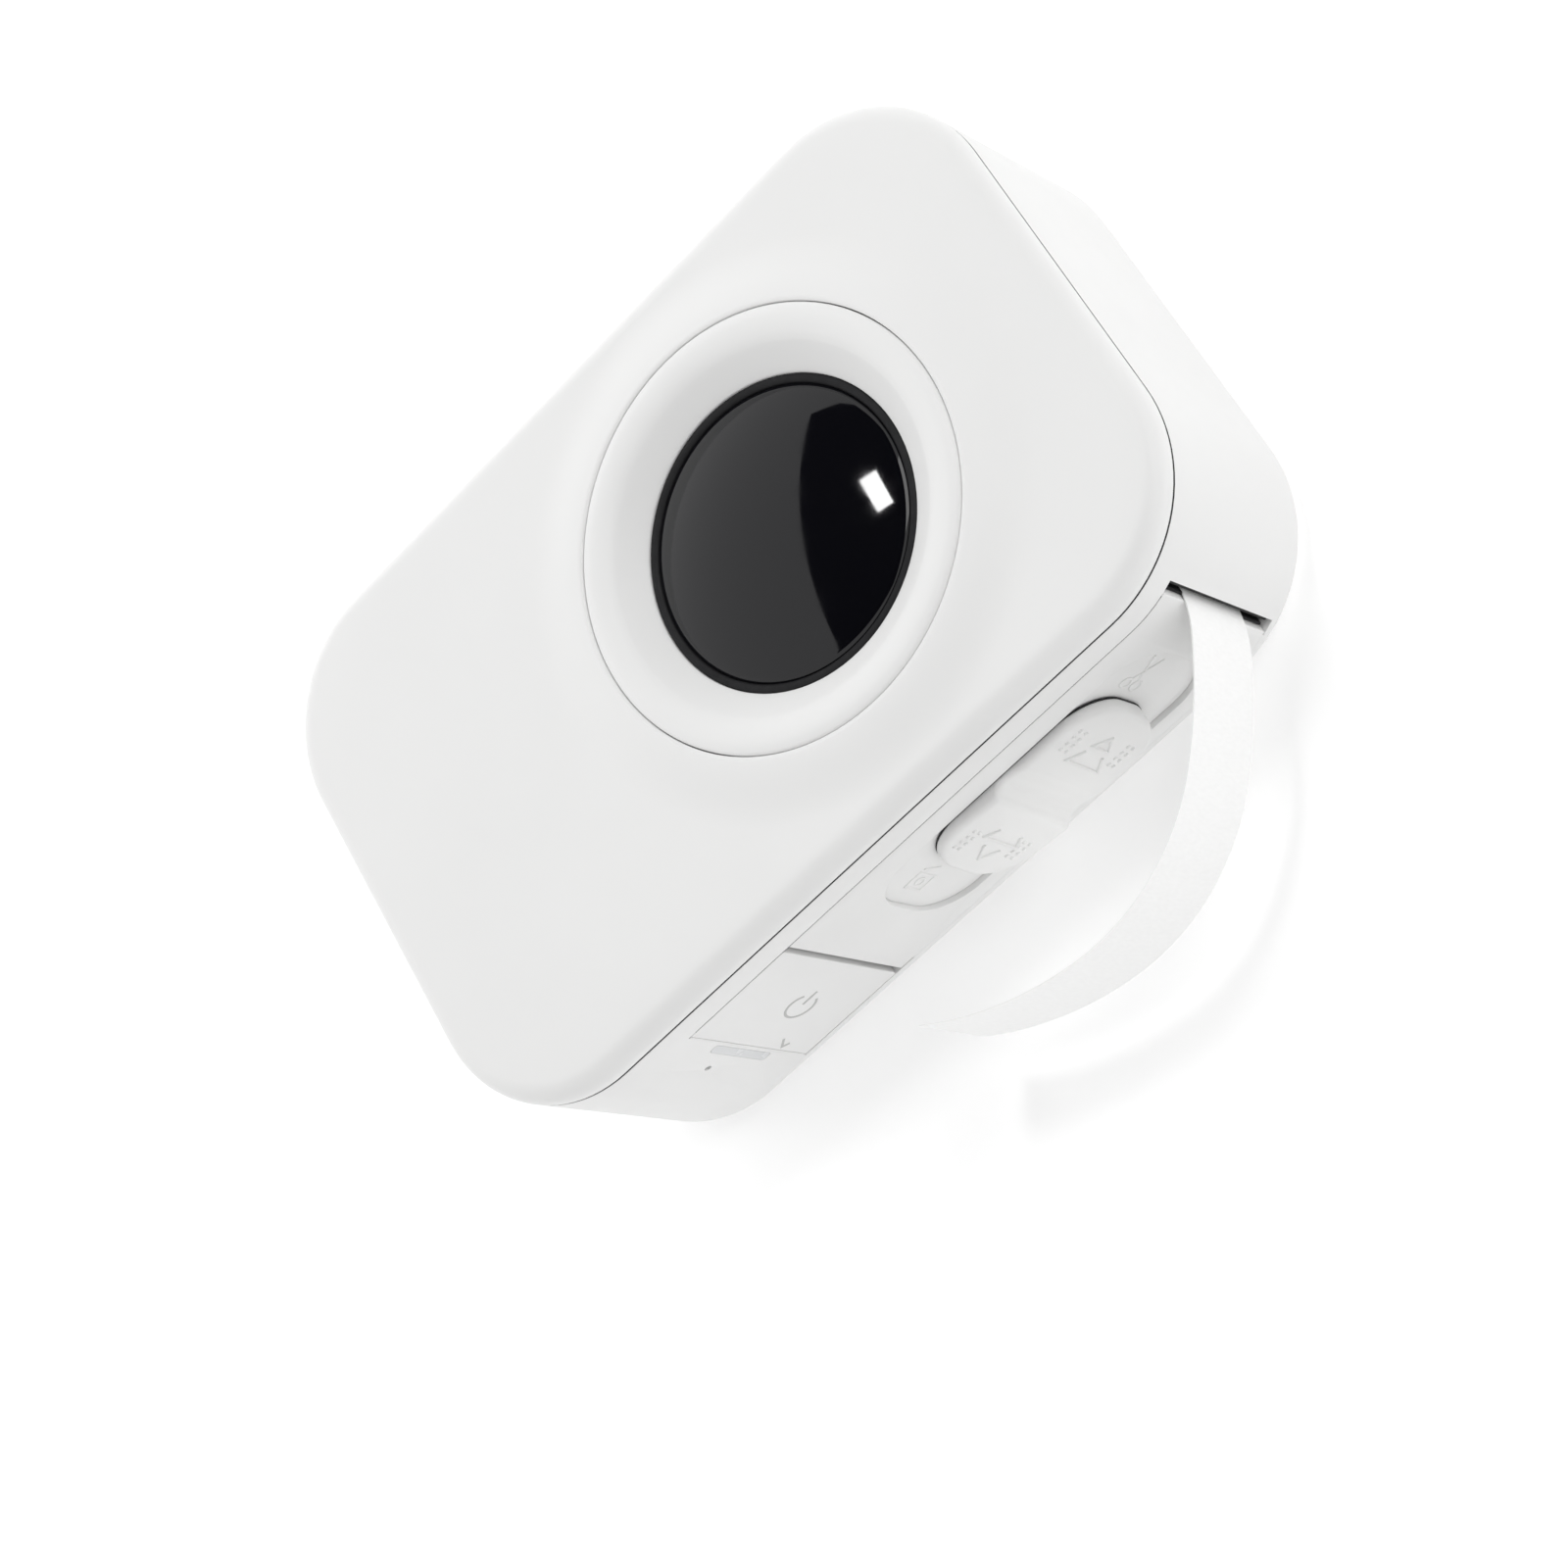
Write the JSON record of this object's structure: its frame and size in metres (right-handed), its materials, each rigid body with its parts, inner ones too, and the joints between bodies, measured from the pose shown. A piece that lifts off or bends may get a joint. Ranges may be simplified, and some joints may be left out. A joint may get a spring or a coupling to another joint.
{
  "type": "thermal label printer",
  "caption": "Pocket thermal label printer: rounded white case with a hinged cover, round dark window, slide knob, power key and a label strip leaving the corner slot.",
  "frame": {"origin": "centre of the flat back face", "axes": "+Z out of the front cover, +Y towards the label exit end, +X towards the side with the knob and the power key"},
  "size_m": [0.1086, 0.127, 0.04],
  "materials": {
    "shell_plastic": "fine matte moulded white plastic",
    "frame_plastic": "plain light grey moulding",
    "steel": "brushed",
    "black_plastic": "matt black",
    "light_pipe": "milky clear",
    "gasket_rubber": "satin black rubber",
    "smoked_lens": "polished smoked plastic, near black",
    "roll_card": "wound brown card",
    "label_paper": "coated thermal label paper on its liner",
    "bronze": "sintered",
    "gear_plastic": "natural acetal",
    "motor_case": "plated can",
    "head_ceramic": "glazed ceramic",
    "aluminium": "as extruded",
    "circuit_board": "green solder mask",
    "battery_wrap": "blue shrink wrap",
    "lead_red": "red insulation",
    "lead_grey": "grey insulation"
  },
  "bodies": {
    "case": {"back_shell": "shell_plastic", "side_panel": "shell_plastic", "slider_guide": "shell_plastic", "anvil_blade": "steel", "cutter_spring": "steel", "latch_spring": "steel", "power_switch": "black_plastic", "status_light": "light_pipe", "reset_switch": "black_plastic", "hinge_pins": "steel", "inner_deck": "frame_plastic", "roll_spindle": "frame_plastic", "label_web": "label_paper", "printed_label": "label_paper", "platen_bushes": "bronze", "idler_post": "steel", "gear_plate": "steel", "plate_spacers": "steel", "drive_motor": "motor_case", "motor_screws": "steel", "head_pivot_pin": "steel", "head_spring": "steel", "gap_sensor": "black_plastic", "mechanism_cover": "frame_plastic", "electronics_cover": "frame_plastic", "main_board": "circuit_board", "board_chips": "black_plastic", "radio_module": "black_plastic", "usb_port": "steel", "lead_sockets": "gear_plastic", "battery_pack": "battery_wrap", "battery_lead": "lead_red", "motor_lead": "lead_red", "head_lead": "lead_grey", "case_screws": "steel", "board_screws": "steel"},
    "lid": {"front_cover": "shell_plastic", "cover_liner": "frame_plastic", "window_ring": "shell_plastic", "window_gasket": "gasket_rubber", "window_lens": "smoked_lens"},
    "slider": {"slide_knob": "shell_plastic", "slider_carriage": "frame_plastic", "cutter_blade": "steel"},
    "power_key": {"power_key": "shell_plastic"},
    "head_arm": {"print_head": "head_ceramic", "head_heatsink": "aluminium", "head_lever": "frame_plastic"},
    "label_reel": {"roll_core": "roll_card", "label_roll": "label_paper"},
    "platen": {"platen_roller": "gasket_rubber", "platen_shaft": "steel", "platen_gear": "gear_plastic"},
    "idler": {"idler_gear": "gear_plastic"},
    "rotor": {"motor_shaft": "steel", "motor_pinion": "bronze"}
  },
  "joints": [
    {"name": "cover_hinge", "type": "hinge", "parent": "case", "child": "lid", "pos_m": [-0.041, 0, 0.0335], "axis": [0, -1, 0], "range_deg": [0, 100]},
    {"name": "knob_slide", "type": "slide", "parent": "case", "child": "slider", "axis": [0, 1, 0], "range_m": [-0.007, 0.008], "stiffness_N_per_m": 200, "deforming": ["cutter_spring", "latch_spring"]},
    {"name": "power_key_press", "type": "hinge", "parent": "case", "child": "power_key", "pos_m": [0.0401, -0.0352, 0.01735], "axis": [0, 0, 1], "range_deg": [0, 2], "stiffness_Nm_per_rad": 1},
    {"name": "head_release", "type": "hinge", "parent": "case", "child": "head_arm", "pos_m": [0.0175, 0.0555, 0.0177], "axis": [0, 0, 1], "range_deg": [0, 8], "stiffness_Nm_per_rad": 0.6, "deforming": ["head_spring"]},
    {"name": "reel_spin", "type": "hinge", "parent": "case", "child": "label_reel", "pos_m": [0, 0.0148, 0.0177], "axis": [0, 0, 1], "continuous": true},
    {"name": "platen_spin", "type": "hinge", "parent": "case", "child": "platen", "pos_m": [0.0265, 0.0453, 0.0177], "axis": [0, 0, 1], "continuous": true},
    {"name": "idler_spin", "type": "hinge", "parent": "case", "child": "idler", "pos_m": [0.01381, 0.05122, 0.0059], "axis": [0, 0, 1], "continuous": true},
    {"name": "rotor_spin", "type": "hinge", "parent": "case", "child": "rotor", "pos_m": [0.00186, 0.05226, 0.0059], "axis": [0, 0, 1], "continuous": true}
  ],
  "couplings": [
    {"joint": "platen_spin", "follows": "reel_spin", "ratio": 5},
    {"joint": "idler_spin", "follows": "reel_spin", "ratio": -2.7778},
    {"joint": "rotor_spin", "follows": "reel_spin", "ratio": 8.3333}
  ]
}
